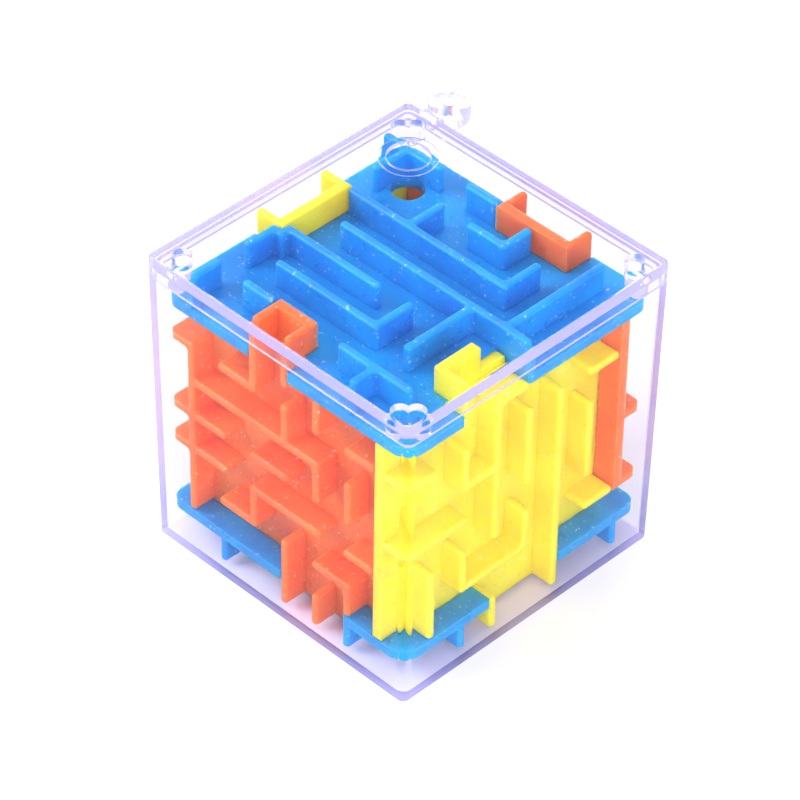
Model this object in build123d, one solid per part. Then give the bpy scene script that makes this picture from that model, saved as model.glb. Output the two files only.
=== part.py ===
from build123d import *

import os

# A pocket maze cube: six interlocking maze plates make a hollow core, which stands in a clear box
# with a push-on lid. A steel ball rolls between the plates' ribs and the walls of the box.
# Millimetres, +Z up, origin at the centre of the box's bottom face. +X is right, -Y is front.

# ---- driving dimensions -------------------------------------------------------------------------

CASE_WIDTH = 40.0  # outer width of the lid, and the whole height too
CASE_HEIGHT = 40.0
PARTING_Z = 37.25  # where the lid's skirt meets the body
WALL = 1.0  # body walls
FLOOR = 1.1
BODY_TAPER = 0.42  # how much narrower the body is at its foot, each side
LID_TOP = 1.5
CORNER_R = 0.9  # upright corners, outside
INNER_CORNER_R = 0.6
FOOT_EDGE_R = 0.35
LID_EDGE_R = 0.5
RIM_THICKNESS = 0.45  # the thin rim that the lid's skirt slides over
RIM_HEIGHT = 1.1
SLIDE_FIT = 0.05
PARTING_GAP = 0.03  # the fine line between the lid's skirt and the body

PITCH = 4.86  # one maze cell
RIB = 1.0  # thickness of a rib
SLAB_IN = 14.0  # inner face of a plate, from the core's centre
SLAB_OUT = 15.2  # outer face of a plate, the ball's floor
HALF_WIDTH = 18.2  # the core's reach to each side
HALF_HEIGHT = 18.5  # the core's reach up and down
LAP = SLAB_OUT  # reach of a plate that only closes a cube edge
GAP = 0.1  # between one plate's tab and the next
PLATE_CORNER_R = 1.6
RIB_END_R = 0.45
RIB_TOP_R = 0.38
TAB_CORNER_R = 0.3
HOLE_R = 1.97  # the hole into the hollow core
SHELF = 2.83  # line of the low shelf on the right plate, under the top plate's floor

CORE_SHIFT_X = -0.25  # the core has some play in the box and stands a little off centre
CORE_SHIFT_Y = 0.25

BALL_D = 3.0
BALL_LIFT = 0.05  # running clearance under the ball
BALL_LANE = 0.5  # the lane's middle, in grid lines up the bottom plate
BALL_U = -2.43  # its place along the lane

RING_OUTER_R = 3.4  # the raised ring moulded on the lid above the hole
RING_INNER_R = 2.55
RING_STEP = 0.30
RING_RISE = 0.35
RING_DISH = 0.27

PEG_R = 1.1  # two pegs in each corner under the lid
PEG_NEAR = 16.6  # a peg's two distances from the middle
PEG_FAR = 17.8
PEG_DROP = 2.1
PEG_TIP_R = 0.3

EYE_X = -16.9  # the key eye, a flat ring on a neck behind the lid
EYE_OUT = 3.4  # from the lid's back face to the middle of the eye
EYE_OUTER_R = 2.5
EYE_BORE_R = 0.9
EYE_BOTTOM_Z = PARTING_Z - 0.35
EYE_THICKNESS = 2.8
EYE_NECK = 2.6
EYE_NECK_INSET = 0.45
EYE_EDGE_R = 1.0

EDGE = 4  # a grid line past the last one: out to the wall of the box
OVERCUT = 1.0  # how far a cutting shape runs past the face it leaves by

# ---- derived ------------------------------------------------------------------------------------

CORE_CENTRE = Vector(CORE_SHIFT_X, CORE_SHIFT_Y, FLOOR + HALF_HEIGHT)
LID_UNDER_Z = CASE_HEIGHT - LID_TOP
BODY_HALF = CASE_WIDTH / 2
BODY_FOOT_HALF = BODY_HALF - BODY_TAPER
FAR = 100.0  # stands for the wall, and is cut back to the plate's reach


def line(k):
    """Place of grid line k."""
    return k * PITCH


def below(k):
    """The low side of a rib on line k."""
    return line(k) - RIB / 2


def above(k):
    """The high side of a rib on line k."""
    return line(k) + RIB / 2


# ---- the maze plates ----------------------------------------------------------------------------
# Each plate is drawn as seen from outside, u to the right and v up (for the top plate v is +Y, for
# the bottom plate v is -Y). A tab is (side, from, to, reach along the side's direction).
# A rib is (u, v, u, v) in grid lines, from end to end. One that ends between lines, such as at 2.75,
# stops short of the neighbouring plate.

TOP_TABS = [
    ("v-", -FAR, below(-1), HALF_WIDTH),
    ("v-", above(0), FAR, HALF_WIDTH),
    ("u+", -FAR, below(-2), HALF_WIDTH),
    ("u+", below(0), FAR, HALF_WIDTH),
    ("v+", -FAR, below(0), HALF_WIDTH),
    ("v+", above(2), FAR, HALF_WIDTH),
    ("u-", -FAR, below(-1), HALF_WIDTH),
    ("u-", above(1), FAR, HALF_WIDTH),
]
TOP_RIBS = [
    (-2.75, 1, 2, 1),
    (2, 1, 2, 2),
    (-1, 1, -1, 2),
    (-2, 0, EDGE, 0),
    (3, 0, 3, 3),
    (2, 0, 2, -2),
    (-2.75, -1, 0, -1),
    (-2.75, -1, -2.75, -1.24),
    (-3, -1.24, -2.75, -1.24),
    (-3, -1.24, -3, -2),
    (-2, -2, 1, -2),
    (1, -2, 1, -1),
    (1, -3, 3, -3),
    (2, -3, 2, -EDGE),
    (-2, -3, -1.25, -3),
    (-3, -3, -3, -EDGE),
    (-1, 3, -0.22, 3),
    (0, 2, 1, 2),
    (1, 2, 1, 2.75),
    (-EDGE, 3, -2, 3),
    (-3, 2, -3, 3),
]
TOP_HOLES = [(-2.5, 2.5)]

FRONT_TABS = [
    ("v+", below(-1), above(0), HALF_HEIGHT),
    ("v-", below(0), below(2), HALF_HEIGHT),
    ("u-", -FAR, FAR, LAP),
]
FRONT_RIBS = [
    (-EDGE, 2, -3, 2),
    (-3, 2, -3, -2.75),
    (-2, 2, -1, 2),
    (-1, 2, -1, EDGE),
    (0, 2.75, 0, EDGE),
    (-3, 1, 1, 1),
    (0, 1, 0, 2),
    (1, 1, 1, 0),
    (1, 2.75, 1, 2),
    (2, 2, 2.7, 2),
    (2, 1, 2, 0),
    (-EDGE, 0, -2, 0),
    (-1, 0, 0, 0),
    (-EDGE, -1, -2, -1),
    (-1, -1, 1, -1),
    (-1, -1, -1, -2),
    (-2, -2, -1, -2),
    (2, -1, 2.7, -1),
    (1, -2, 2, -2),
    (2, -2, 2, -2.75),
    (0, -2, 0, -EDGE),
    (1, -3, 1, -EDGE),
]

RIGHT_TABS = [
    ("v+", below(-2), above(-1), HALF_HEIGHT),
    ("v+", line(-1), below(0) - GAP, LAP),
    ("v-", below(-1), above(1), HALF_HEIGHT),
    ("u-", -FAR, FAR, HALF_WIDTH),
    ("u+", -FAR, below(-2), LAP),
]
RIGHT_RIBS = [
    (-EDGE, 2, -3, 2),
    (-3, 2, -3, 1),
    (-EDGE, 0, -2, 0),
    (-3, -1, -3, -2.75),
    (-2, 2, -2, 1),
    (-2, 1, -1, 1),
    (-1, SHELF, -1, -1),
    (-1, SHELF, -0.2, SHELF),
    (-2, 3.1, -2, EDGE),
    (0, 2, 0, 0),
    (1, 2, 1, -EDGE),
    (2, 1, 2, -1),
    (2, 2, 2.75, 2),
    (2, -2, 2.75, -2),
    (0, -1, 0, -2),
    (-2, -2, 0, -2),
    (-2, -1, -2, -2),
    (-1, -3, -1, -EDGE),
]

BACK_TABS = [
    ("v+", below(-2), above(0), HALF_HEIGHT),
    ("v-", below(1), above(2), HALF_HEIGHT),
    ("u-", below(-2), FAR, HALF_WIDTH),
    ("u+", -FAR, below(-1), LAP),
    ("u+", above(2), FAR, LAP),
]
BACK_RIBS = [
    (0, 2, 0, EDGE),
    (-2, 2, -2, EDGE),
    (-1, 2, -1, 1),
    (-EDGE, 0, -2, 0),
    (-EDGE, -2, -1, -2),
    (-2, 0, -2, 1),
    (-1, 0, 1, 0),
    (-1, 0, -1, -1),
    (1, 0, 1, 1),
    (0, 2, 2, 2),
    (2, 2, 2, 1),
    (2, -1, 2.7, -1),
    (1, -1, 1, -EDGE),
    (2, -2, 2, -EDGE),
    (0, -2, 0, -1),
    (-2.75, -1, -2, -1),
    (-2, -2, -2, -2.7),
    (0, -2.7, 0, -2),
]

LEFT_TABS = [
    ("v+", below(-1), above(1), HALF_HEIGHT),
    ("v-", below(-2), above(0), HALF_HEIGHT),
    ("u-", below(-1), above(2), HALF_WIDTH),
]
LEFT_RIBS = [
    (-1, 2, -1, EDGE),
    (1, 2, 1, EDGE),
    (-EDGE, 2, -2, 2),
    (-EDGE, -1, -1, -1),
    (-2, 1, -2, 0),
    (-2, 0, 0, 0),
    (-1, 1, 1, 1),
    (1, 1, 1, -1),
    (0, 0, 0, -2),
    (2, 2, 2, 0),
    (2, 2, 2.7, 2),
    (2, -1, 2.7, -1),
    (1, -2, 2, -2),
    (-2, -2, -2, -EDGE),
    (0, -2, 0, -EDGE),
    (-1, -2, -1, -1),
    (1, -2, 1, -2.7),
]

BOTTOM_TABS = [
    ("v+", -FAR, below(0), HALF_WIDTH),
    ("v+", below(2), FAR, HALF_WIDTH),
    ("u+", above(1), FAR, HALF_WIDTH),
    ("u+", -FAR, below(-1), HALF_WIDTH),
    ("v-", -FAR, below(-2), HALF_WIDTH),
    ("v-", above(-1), FAR, HALF_WIDTH),
    ("u-", -FAR, below(-2), HALF_WIDTH),
    ("u-", above(0), FAR, HALF_WIDTH),
]
BOTTOM_RIBS = [
    (-2, EDGE, -2, 2),
    (2, EDGE, 2, 2),
    (1, 2, EDGE, 2),
    (-1, 2, -1, 1),
    (-2, 1, 2, 1),
    (-2.7, 0, 1, 0),
    (-3, 0.25, -3, 1),
    (2, 0, 2, 1),
    (2, 0, 2, -1),
    (-2, -1, 1, -1),
    (-2, -1, -2, -2),
    (0, -1, 0, -2),
    (1, -2, 1, -EDGE),
    (-1, -2, -1, -2.7),
    (2, -3, EDGE, -3),
    (-EDGE, -3, -2.3, -3),
]
BOTTOM_HOLES = [(2.5, -1.5)]

# The frame of each plate: its outward normal and its u direction.
PLATES = {
    "maze_top": ((0, 0, 1), (1, 0, 0), TOP_TABS, TOP_RIBS, TOP_HOLES),
    "maze_front": ((0, -1, 0), (1, 0, 0), FRONT_TABS, FRONT_RIBS, []),
    "maze_right": ((1, 0, 0), (0, 1, 0), RIGHT_TABS, RIGHT_RIBS, []),
    "maze_back": ((0, 1, 0), (-1, 0, 0), BACK_TABS, BACK_RIBS, []),
    "maze_left": ((-1, 0, 0), (0, -1, 0), LEFT_TABS, LEFT_RIBS, []),
    "maze_bottom": ((0, 0, -1), (1, 0, 0), BOTTOM_TABS, BOTTOM_RIBS, BOTTOM_HOLES),
}


def rectangle(u1, v1, u2, v2):
    """A rectangle from two opposite corners."""
    return Pos((u1 + u2) / 2, (v1 + v2) / 2) * Rectangle(abs(u2 - u1), abs(v2 - v1))


def tab_plan(tab, corner_reach):
    """One tab of a plate, a little narrower than the slot it stands in."""
    side, start, end, reach = tab
    start = max(start + GAP / 2, -corner_reach)
    end = min(end - GAP / 2, corner_reach)
    sign = 1 if side[1] == "+" else -1
    root = SLAB_IN - RIB
    if side[0] == "u":
        return rectangle(sign * root, start, sign * reach, end)
    return rectangle(start, sign * root, end, sign * reach)


def rib_plan(rib, half_u, half_v):
    """One rib's footprint, cut back to the plate's reach."""
    u1, v1, u2, v2 = [line(k) for k in rib]
    low_u = max(min(u1, u2) - RIB / 2, -half_u)
    high_u = min(max(u1, u2) + RIB / 2, half_u)
    low_v = max(min(v1, v2) - RIB / 2, -half_v)
    high_v = min(max(v1, v2) + RIB / 2, half_v)
    return rectangle(low_u, low_v, high_u, high_v)


def slab(tabs, holes, corner_reach):
    """The flat of a plate, with its tabs, its holes and soft outer corners."""
    plan = Rectangle(2 * SLAB_IN, 2 * SLAB_IN)
    for tab in tabs:
        plan += tab_plan(tab, corner_reach)
    outer = [p for p in plan.vertices() if max(abs(p.X), abs(p.Y)) > SLAB_IN + RIB / 2]
    plan = fillet(outer, TAB_CORNER_R)
    for hole in holes:
        plan -= Pos(line(hole[0]), line(hole[1])) * Circle(HOLE_R)
    return Pos(0, 0, SLAB_IN) * extrude(plan, SLAB_OUT - SLAB_IN)


def ribs(rib_list, half_u, half_v, reach):
    """The upright walls of a plate, rooted in its slab, with rounded ends and tops."""
    plan = Sketch()
    for rib in rib_list:
        plan += rib_plan(rib, half_u, half_v)
    plan = fillet(plan.vertices(), RIB_END_R)
    root = (SLAB_IN + SLAB_OUT) / 2
    walls = Pos(0, 0, root) * extrude(plan, reach - root)
    tops = walls.faces().filter_by(Axis.Z).group_by(Axis.Z)[-1]
    return fillet(tops.edges(), RIB_TOP_R)


def plate(normal, u_direction, tabs, rib_list, holes):
    """A whole maze plate in its place on the core."""
    lies_flat = normal[2] != 0
    half_v = HALF_WIDTH if lies_flat else HALF_HEIGHT
    reach = HALF_HEIGHT if lies_flat else HALF_WIDTH
    corner_reach = HALF_WIDTH if lies_flat else SLAB_IN
    flat = slab(tabs, holes, corner_reach)
    body = flat + ribs(rib_list, HALF_WIDTH, half_v, reach)
    frame = Plane(origin=(0, 0, 0), x_dir=u_direction, z_dir=normal)
    return Pos(CORE_CENTRE) * ((frame.location * body) & core_envelope())


def core_envelope():
    """What the core may fill: its upright corners are rounded to clear those of the box."""
    plan = RectangleRounded(2 * HALF_WIDTH, 2 * HALF_WIDTH, PLATE_CORNER_R)
    return Pos(0, 0, -HALF_HEIGHT) * extrude(plan, 2 * HALF_HEIGHT)


# ---- the clear box ------------------------------------------------------------------------------


def rounded_square(half, radius, z):
    """A square with rounded corners at height z."""
    return Pos(0, 0, z) * RectangleRounded(2 * half, 2 * half, radius)


def tapered_block(low_half, high_half, radius, low_z, high_z):
    """A block that widens upwards."""
    return loft([rounded_square(low_half, radius, low_z), rounded_square(high_half, radius, high_z)])


def case_body():
    """The open box: tapered walls, a rounded foot and a thin rim for the lid."""
    foot = tapered_block(BODY_FOOT_HALF, BODY_HALF, CORNER_R, 0, PARTING_Z)
    foot = fillet(foot.faces().sort_by(Axis.Z)[0].edges(), FOOT_EDGE_R)
    inner_half = BODY_HALF - WALL
    rim_half = inner_half + RIM_THICKNESS
    rim = extrude(rounded_square(rim_half, INNER_CORNER_R + RIM_THICKNESS, PARTING_Z), RIM_HEIGHT)
    taper_per_mm = BODY_TAPER / PARTING_Z
    floor_half = BODY_FOOT_HALF - WALL + FLOOR * taper_per_mm
    hollow = tapered_block(floor_half, inner_half, INNER_CORNER_R, FLOOR, PARTING_Z)
    mouth = extrude(rounded_square(inner_half, INNER_CORNER_R, PARTING_Z), RIM_HEIGHT + OVERCUT)
    return foot + rim - hollow - mouth


def lid_ring():
    """The low raised ring on top of the lid, above the hole into the core."""
    profile = make_face(
        Polyline(
            (RING_INNER_R, -RING_DISH),
            (RING_OUTER_R, -RING_DISH),
            (RING_OUTER_R, RING_STEP),
            (RING_INNER_R, RING_RISE),
            close=True,
        )
    )
    upright = Plane(origin=(0, 0, 0), x_dir=(1, 0, 0), z_dir=(0, -1, 0))
    return revolve(upright.location * profile, Axis.Z)


def lid_pegs():
    """Two pegs in each corner, which press the lid into the mouth of the box."""
    pegs = []
    for sx in (-1, 1):
        for sy in (-1, 1):
            for x, y in ((PEG_FAR, PEG_NEAR), (PEG_NEAR, PEG_FAR)):
                peg = extrude(Circle(PEG_R), PEG_DROP + LID_TOP / 2)
                peg = fillet(peg.faces().sort_by(Axis.Z)[0].edges(), PEG_TIP_R)
                pegs.append(Pos(sx * x, sy * y, LID_UNDER_Z - PEG_DROP) * peg)
    return pegs


def key_eye():
    """The eye for a key ring, on a short neck behind the lid."""
    disc = extrude(Circle(EYE_OUTER_R), EYE_THICKNESS)
    disc = fillet(disc.edges().filter_by(GeomType.CIRCLE), EYE_EDGE_R)
    neck_height = EYE_THICKNESS - 2 * EYE_NECK_INSET
    neck = Pos(0, -EYE_OUT / 2, EYE_THICKNESS / 2) * Box(EYE_NECK, EYE_OUT, neck_height)
    bore = Pos(0, 0, -OVERCUT) * extrude(Circle(EYE_BORE_R), EYE_THICKNESS + 2 * OVERCUT)
    return Pos(EYE_X, CASE_WIDTH / 2 + EYE_OUT, EYE_BOTTOM_Z) * (disc + neck - bore)


def case_lid():
    """The push-on lid: a cap with a skirt, corner pegs, a moulded ring and the key eye."""
    skirt_z = PARTING_Z + PARTING_GAP
    cap = extrude(rounded_square(CASE_WIDTH / 2, CORNER_R, skirt_z), CASE_HEIGHT - skirt_z)
    cap = fillet(cap.faces().sort_by(Axis.Z)[-1].edges(), LID_EDGE_R)
    socket_half = BODY_HALF - WALL + RIM_THICKNESS + SLIDE_FIT
    socket_r = INNER_CORNER_R + RIM_THICKNESS + SLIDE_FIT
    cap -= extrude(rounded_square(socket_half, socket_r, skirt_z), LID_UNDER_Z - skirt_z)
    for peg in lid_pegs():
        cap += peg
    hole = TOP_HOLES[0]
    above_hole = Pos(CORE_SHIFT_X + line(hole[0]), CORE_SHIFT_Y + line(hole[1]), CASE_HEIGHT)
    cap -= above_hole * Pos(0, 0, -RING_DISH) * extrude(Circle(RING_INNER_R), RING_DISH + OVERCUT)
    return cap + above_hole * lid_ring() + key_eye()


# ---- the ball -----------------------------------------------------------------------------------


def steel_ball():
    """The ball at rest on the floor of the box, in a straight lane of the bottom plate."""
    place = CORE_CENTRE + Vector(BALL_U, -line(BALL_LANE), 0)
    return Pos(place.X, place.Y, FLOOR + BALL_LIFT + BALL_D / 2) * Sphere(BALL_D / 2)


# ---- write --------------------------------------------------------------------------------------

os.makedirs("parts", exist_ok=True)
export_step(case_body(), "parts/case_body.step")
export_step(case_lid(), "parts/case_lid.step")
export_step(steel_ball(), "parts/steel_ball.step")
for name, description in PLATES.items():
    export_step(plate(*description), f"parts/{name}.step")
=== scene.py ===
import math

import bpy
from mathutils import Matrix, Vector

# A pocket maze cube in a clear box, on a white table under soft studio light. Metres, +Z up.

MM = 0.001

# ---- camera -------------------------------------------------------------------------------------

CAMERA_TARGET = Vector((0, 0, 20 * MM))
CAMERA_AZIMUTH = math.radians(44.35)
CAMERA_ELEVATION = math.radians(40.6)
CAMERA_ROLL = math.radians(1.06)
CAMERA_DISTANCE = 483.2 * MM
CAMERA_SLIDE_RIGHT = -0.64 * MM
CAMERA_SLIDE_UP = -0.12 * MM
CAMERA_LENS = 197.3  # lens and sensor are in millimetres
SENSOR_WIDTH = 36.0
CLIP_START = 10 * MM

# ---- light --------------------------------------------------------------------------------------

WORLD_STRENGTH = 0.92
# Softboxes: name, place in metres, size in metres, power in watts. The rim light stands low behind.
SOFTBOXES = [
    ("top_light", (0.02, 0.05, 0.60), 0.50, 0.5),
    ("key_light", (-0.40, -0.35, 0.42), 0.30, 2.3),
    ("fill_light", (0.50, -0.30, 0.30), 0.35, 2.1),
    ("rim_light", (-0.45, 0.45, 0.20), 0.30, 0.7),
]
LIGHT_BOUNCES = 24  # light trapped in the clear lid turns many corners before it leaves

# ---- table --------------------------------------------------------------------------------------

FLOOR_SIZE = 6.0
FLOOR_DROP = 0.02 * MM  # keeps the table's face off the box's foot
TABLE_COLOUR = (0.92, 0.92, 0.92)
TABLE_ROUGHNESS = 0.75

# ---- coloured plastics --------------------------------------------------------------------------

BLUE = (0.0, 0.355, 0.78)
BLUE_DEEP = (0.0, 0.245, 0.63)
ORANGE = (1.0, 0.215, 0.04)
ORANGE_DEEP = (0.97, 0.155, 0.03)
YELLOW = (1.0, 0.84, 0.03)
YELLOW_DEEP = (1.0, 0.70, 0.02)
PLASTIC_IOR = 1.49
PLASTIC_SPECULAR = 0.32
PLASTIC_ROUGHNESS = (0.24, 0.42)  # from polished to scuffed
GLOW_WEIGHT = 0.90  # how translucent the plates are
GLOW_RADIUS = (1.0, 0.9, 0.8)
GLOW_DEPTH = 2.4 * MM
# Patterns are noise, with scales in patches per metre. A band is where in the noise one shows: a
# narrow band high up leaves only small rare spots.
CLOUD_SCALE = 130
CLOUD_BAND = (0.35, 0.65)
SPECK_SCALE = 1500
SPECK_BAND = (0.84, 0.86)
SPECK_DARKNESS = 0.15
CHIP_SCALE = 1900
CHIP_BAND = (0.665, 0.69)
CHIP_STRENGTH = 0.7
SCUFF_SCALE = 700
SCUFF_BAND = (0.3, 0.7)
SINK_SCALE = 260
SINK_DEPTH = 0.10 * MM
SINK_STRENGTH = 0.45
GRAIN_SCALE = 4200
GRAIN_DEPTH = 0.010 * MM
GRAIN_STRENGTH = 0.35

# ---- clear plastic ------------------------------------------------------------------------------

CLEAR_IOR = 1.57
CLEAR_TINT = (0.963, 0.957, 0.981)
LAMP_TINT = (0.97, 0.965, 0.99)  # what a wall leaves of a lamp's light
MIRROR_CURVE = 1.45  # a power over plain Fresnel: over 1 weakens the mirror share
EDGE_ABSORPTION = (0.17, 0.0, 0.93)  # lilac where the light runs along a wall
EDGE_DENSITY = 7.5  # per metre
EDGE_HAZE = 0.42  # how much of the light that is mirrored inside a wall is scattered instead
EDGE_GLOW = (0.70, 0.66, 0.98)
WAVE_SCALE = 90
WAVE_DEPTH = 0.06 * MM
WAVE_STRENGTH = 0.25
RIPPLE_SCALE = 650
RIPPLE_DEPTH = 0.014 * MM
RIPPLE_STRENGTH = 0.5

# ---- steel --------------------------------------------------------------------------------------

STEEL_COLOUR = (0.72, 0.73, 0.75)
STEEL_ROUGHNESS = (0.06, 0.16)
STEEL_MARK_SCALE = 2500
STEEL_MARK_BAND = (0.3, 0.7)


def nodes_of(name):
    """A new empty node material: the material, its nodes and a function that links."""
    material = bpy.data.materials.new(name)
    material.use_nodes = True
    tree = material.node_tree
    tree.nodes.clear()
    return material, tree.nodes, tree.links.new


def noise(nodes, link, coords, scale, detail=3.0, roughness=0.5):
    """A noise texture in object coordinates, scale in patches per metre."""
    node = nodes.new("ShaderNodeTexNoise")
    node.inputs["Scale"].default_value = scale
    node.inputs["Detail"].default_value = detail
    node.inputs["Roughness"].default_value = roughness
    link(coords, node.inputs["Vector"])
    return node.outputs["Fac"]


def remap(nodes, link, value, band, to=(0.0, 1.0)):
    """value stretched from its band to another range, and kept inside that."""
    node = nodes.new("ShaderNodeMapRange")
    node.inputs["From Min"].default_value = band[0]
    node.inputs["From Max"].default_value = band[1]
    node.inputs["To Min"].default_value = to[0]
    node.inputs["To Max"].default_value = to[1]
    link(value, node.inputs["Value"])
    return node.outputs["Result"]


def mix_colour(nodes, link, factor, a, b):
    """Colour b over a by factor. a and b are colours or sockets."""
    node = nodes.new("ShaderNodeMix")
    node.data_type = "RGBA"
    link(factor, node.inputs["Factor"])
    for socket, colour in (("A", a), ("B", b)):
        target = [s for s in node.inputs if s.name == socket and s.type == "RGBA"][0]
        if isinstance(colour, tuple):
            target.default_value = (*colour, 1.0)
        else:
            link(colour, target)
    return [s for s in node.outputs if s.type == "RGBA"][0]


def mix_shaders(nodes, link, factor, a, b):
    """Shader b over a by factor, which is a number or a socket."""
    mix = nodes.new("ShaderNodeMixShader")
    if isinstance(factor, float):
        mix.inputs["Fac"].default_value = factor
    else:
        link(factor, mix.inputs["Fac"])
    link(a, mix.inputs[1])
    link(b, mix.inputs[2])
    return mix.outputs["Shader"]


def bump(nodes, link, height, distance, strength, normal=None):
    """A bump, with distance in metres."""
    node = nodes.new("ShaderNodeBump")
    node.inputs["Distance"].default_value = distance
    node.inputs["Strength"].default_value = strength
    link(height, node.inputs["Height"])
    if normal is not None:
        link(normal, node.inputs["Normal"])
    return node.outputs["Normal"]


def moulded_plastic(name, light, deep):
    """Coloured, translucent moulded plastic: cloudy colour, specks, pale chips, scuffs, sink marks."""
    material, nodes, link = nodes_of(name)
    coords = nodes.new("ShaderNodeTexCoord").outputs["Object"]
    cloud = remap(nodes, link, noise(nodes, link, coords, CLOUD_SCALE), CLOUD_BAND)
    colour = mix_colour(nodes, link, cloud, deep, light)
    speck = remap(nodes, link, noise(nodes, link, coords, SPECK_SCALE, detail=1.0), SPECK_BAND)
    dark = tuple(SPECK_DARKNESS * c for c in deep)
    colour = mix_colour(nodes, link, speck, colour, dark)
    chip = noise(nodes, link, coords, CHIP_SCALE, detail=2.0, roughness=0.7)
    chip = remap(nodes, link, chip, CHIP_BAND, (0.0, CHIP_STRENGTH))
    pale = tuple(0.5 + 0.5 * c for c in light)
    colour = mix_colour(nodes, link, chip, colour, pale)
    scuff = noise(nodes, link, coords, SCUFF_SCALE, detail=4.0, roughness=0.65)
    rough = remap(nodes, link, scuff, SCUFF_BAND, PLASTIC_ROUGHNESS)
    sink = noise(nodes, link, coords, SINK_SCALE, detail=2.0)
    grain = noise(nodes, link, coords, GRAIN_SCALE, roughness=0.6)
    normal = bump(nodes, link, sink, SINK_DEPTH, SINK_STRENGTH)
    normal = bump(nodes, link, grain, GRAIN_DEPTH, GRAIN_STRENGTH, normal)
    shader = nodes.new("ShaderNodeBsdfPrincipled")
    shader.inputs["IOR"].default_value = PLASTIC_IOR
    shader.inputs["Specular IOR Level"].default_value = PLASTIC_SPECULAR
    shader.inputs["Subsurface Weight"].default_value = GLOW_WEIGHT
    shader.inputs["Subsurface Radius"].default_value = GLOW_RADIUS
    shader.inputs["Subsurface Scale"].default_value = GLOW_DEPTH
    link(colour, shader.inputs["Base Color"])
    link(rough, shader.inputs["Roughness"])
    link(normal, shader.inputs["Normal"])
    output = nodes.new("ShaderNodeOutputMaterial")
    link(shader.outputs["BSDF"], output.inputs["Surface"])
    return material


def soft_glow(nodes, link):
    """Light scattered both ways by the plastic, in the colour of its edges."""
    sides = []
    for kind in ("ShaderNodeBsdfDiffuse", "ShaderNodeBsdfTranslucent"):
        scatter = nodes.new(kind)
        scatter.inputs["Color"].default_value = (*EDGE_GLOW, 1.0)
        sides.append(scatter.outputs["BSDF"])
    return mix_shaders(nodes, link, 0.5, *sides)


def mirror_share(nodes, link, normal):
    """How much of the light a wall mirrors, by its slant."""
    fresnel = nodes.new("ShaderNodeFresnel")
    fresnel.inputs["IOR"].default_value = CLEAR_IOR
    link(normal, fresnel.inputs["Normal"])
    share = nodes.new("ShaderNodeMath")
    share.operation = "POWER"
    link(fresnel.outputs["Fac"], share.inputs[0])
    share.inputs[1].default_value = MIRROR_CURVE
    return share.outputs["Value"]


def clear_plastic(name):
    """Clear moulded plastic: it bends light, tints it along its edges and lets lamps through."""
    material, nodes, link = nodes_of(name)
    coords = nodes.new("ShaderNodeTexCoord").outputs["Object"]
    wave = noise(nodes, link, coords, WAVE_SCALE, detail=1.5)
    normal = bump(nodes, link, wave, WAVE_DEPTH, WAVE_STRENGTH)
    ripple = noise(nodes, link, coords, RIPPLE_SCALE, detail=2.0)
    normal = bump(nodes, link, ripple, RIPPLE_DEPTH, RIPPLE_STRENGTH, normal)
    bends = nodes.new("ShaderNodeBsdfRefraction")
    bends.inputs["Color"].default_value = (*CLEAR_TINT, 1.0)
    bends.inputs["IOR"].default_value = CLEAR_IOR
    bends.inputs["Roughness"].default_value = 0.0
    link(normal, bends.inputs["Normal"])
    mirrors = nodes.new("ShaderNodeBsdfGlossy")
    mirrors.inputs["Color"].default_value = (1.0, 1.0, 1.0, 1.0)
    mirrors.inputs["Roughness"].default_value = 0.0
    link(normal, mirrors.inputs["Normal"])
    lamp_side = nodes.new("ShaderNodeBsdfTransparent")
    lamp_side.inputs["Color"].default_value = (*LAMP_TINT, 1.0)
    ray = nodes.new("ShaderNodeLightPath")
    kept_in = mix_shaders(nodes, link, EDGE_HAZE, mirrors.outputs["BSDF"], soft_glow(nodes, link))
    share = mirror_share(nodes, link, normal)
    seen = mix_shaders(nodes, link, share, bends.outputs["BSDF"], kept_in)
    shadow_ray = ray.outputs["Is Shadow Ray"]
    surface = mix_shaders(nodes, link, shadow_ray, seen, lamp_side.outputs["BSDF"])
    volume = nodes.new("ShaderNodeVolumeAbsorption")
    volume.inputs["Color"].default_value = (*EDGE_ABSORPTION, 1.0)
    volume.inputs["Density"].default_value = EDGE_DENSITY
    output = nodes.new("ShaderNodeOutputMaterial")
    link(surface, output.inputs["Surface"])
    link(volume.outputs["Volume"], output.inputs["Volume"])
    return material


def polished_steel(name):
    """Bearing steel with faint rolling marks."""
    material, nodes, link = nodes_of(name)
    coords = nodes.new("ShaderNodeTexCoord").outputs["Object"]
    marks = noise(nodes, link, coords, STEEL_MARK_SCALE, detail=5.0, roughness=0.7)
    rough = remap(nodes, link, marks, STEEL_MARK_BAND, STEEL_ROUGHNESS)
    shader = nodes.new("ShaderNodeBsdfPrincipled")
    shader.inputs["Base Color"].default_value = (*STEEL_COLOUR, 1.0)
    shader.inputs["Metallic"].default_value = 1.0
    link(rough, shader.inputs["Roughness"])
    output = nodes.new("ShaderNodeOutputMaterial")
    link(shader.outputs["BSDF"], output.inputs["Surface"])
    return material


def table_white(name):
    """A plain white table."""
    material, nodes, link = nodes_of(name)
    shader = nodes.new("ShaderNodeBsdfPrincipled")
    shader.inputs["Base Color"].default_value = (*TABLE_COLOUR, 1.0)
    shader.inputs["Roughness"].default_value = TABLE_ROUGHNESS
    output = nodes.new("ShaderNodeOutputMaterial")
    link(shader.outputs["BSDF"], output.inputs["Surface"])
    return material


def dress(name, material):
    """Gives a CAD node its material."""
    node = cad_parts[name]
    if not node.data.materials:
        node.data.materials.append(material)
    for slot in node.material_slots:
        slot.material = material


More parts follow.
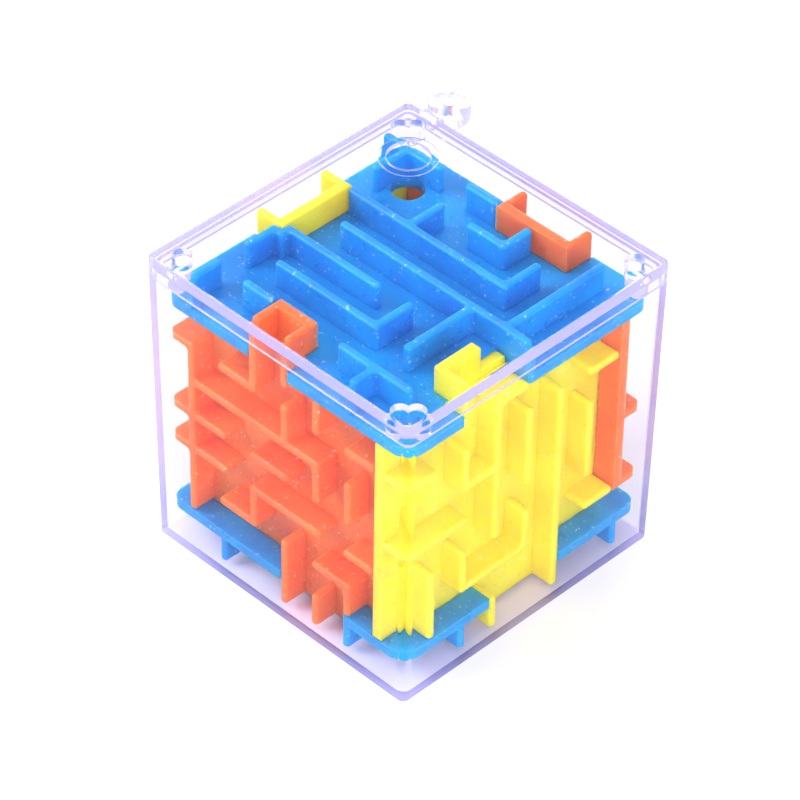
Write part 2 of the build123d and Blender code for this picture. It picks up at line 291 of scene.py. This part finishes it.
def studio_floor():
    """A wide plain floor under the box."""
    bpy.ops.mesh.primitive_plane_add(size=FLOOR_SIZE, location=(0, 0, -FLOOR_DROP))
    floor = bpy.context.object
    floor.name = "floor"
    floor.data.materials.append(table_white("table_white"))


def softbox(name, place, size, power):
    """A square area light that looks at the cube."""
    data = bpy.data.lights.new(name, "AREA")
    data.size = size
    data.energy = power
    lamp = bpy.data.objects.new(name, data)
    place = Vector(place)
    lamp.location = place
    lamp.rotation_euler = (CAMERA_TARGET - place).to_track_quat("-Z", "Y").to_euler()
    bpy.context.collection.objects.link(lamp)


def studio_light():
    """White surroundings and the softboxes."""
    world = bpy.data.worlds.new("studio")
    world.use_nodes = True
    background = world.node_tree.nodes["Background"]
    background.inputs["Color"].default_value = (1.0, 1.0, 1.0, 1.0)
    background.inputs["Strength"].default_value = WORLD_STRENGTH
    bpy.context.scene.world = world
    for lamp in SOFTBOXES:
        softbox(*lamp)


def photo_camera():
    """The camera, placed by angle, distance and a small slide across the view."""
    a, e, r = CAMERA_AZIMUTH, CAMERA_ELEVATION, CAMERA_ROLL
    back = Vector((math.sin(a) * math.cos(e), -math.cos(a) * math.cos(e), math.sin(e)))
    level = Vector((math.cos(a), math.sin(a), 0))
    upright = back.cross(level)
    right = level * math.cos(r) + upright * math.sin(r)
    up = upright * math.cos(r) - level * math.sin(r)
    place = CAMERA_TARGET + back * CAMERA_DISTANCE
    place += right * CAMERA_SLIDE_RIGHT + up * CAMERA_SLIDE_UP
    data = bpy.data.cameras.new("camera")
    data.lens = CAMERA_LENS
    data.sensor_width = SENSOR_WIDTH
    data.clip_start = CLIP_START
    camera = bpy.data.objects.new("camera", data)
    turn = Matrix((right, up, back)).transposed().to_4x4()
    camera.matrix_world = Matrix.Translation(place) @ turn
    bpy.context.collection.objects.link(camera)
    bpy.context.scene.camera = camera


# ---- build --------------------------------------------------------------------------------------

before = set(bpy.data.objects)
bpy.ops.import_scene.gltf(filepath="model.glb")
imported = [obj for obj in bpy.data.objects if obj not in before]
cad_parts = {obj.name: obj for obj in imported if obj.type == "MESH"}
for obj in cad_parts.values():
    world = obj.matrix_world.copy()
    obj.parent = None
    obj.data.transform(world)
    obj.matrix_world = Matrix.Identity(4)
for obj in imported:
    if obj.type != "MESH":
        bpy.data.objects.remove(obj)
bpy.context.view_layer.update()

blue = moulded_plastic("blue_plastic", BLUE, BLUE_DEEP)
orange = moulded_plastic("orange_plastic", ORANGE, ORANGE_DEEP)
yellow = moulded_plastic("yellow_plastic", YELLOW, YELLOW_DEEP)
clear = clear_plastic("clear_plastic")
for node_name, material in (
    ("maze_top", blue),
    ("maze_bottom", blue),
    ("maze_front", orange),
    ("maze_back", orange),
    ("maze_right", yellow),
    ("maze_left", yellow),
    ("case_body", clear),
    ("case_lid", clear),
    ("steel_ball", polished_steel("steel")),
):
    dress(node_name, material)

studio_floor()
studio_light()
photo_camera()
bpy.context.scene.view_settings.view_transform = "Standard"
bpy.context.scene.cycles.max_bounces = LIGHT_BOUNCES
bpy.context.scene.cycles.transmission_bounces = LIGHT_BOUNCES
bpy.context.scene.cycles.glossy_bounces = LIGHT_BOUNCES
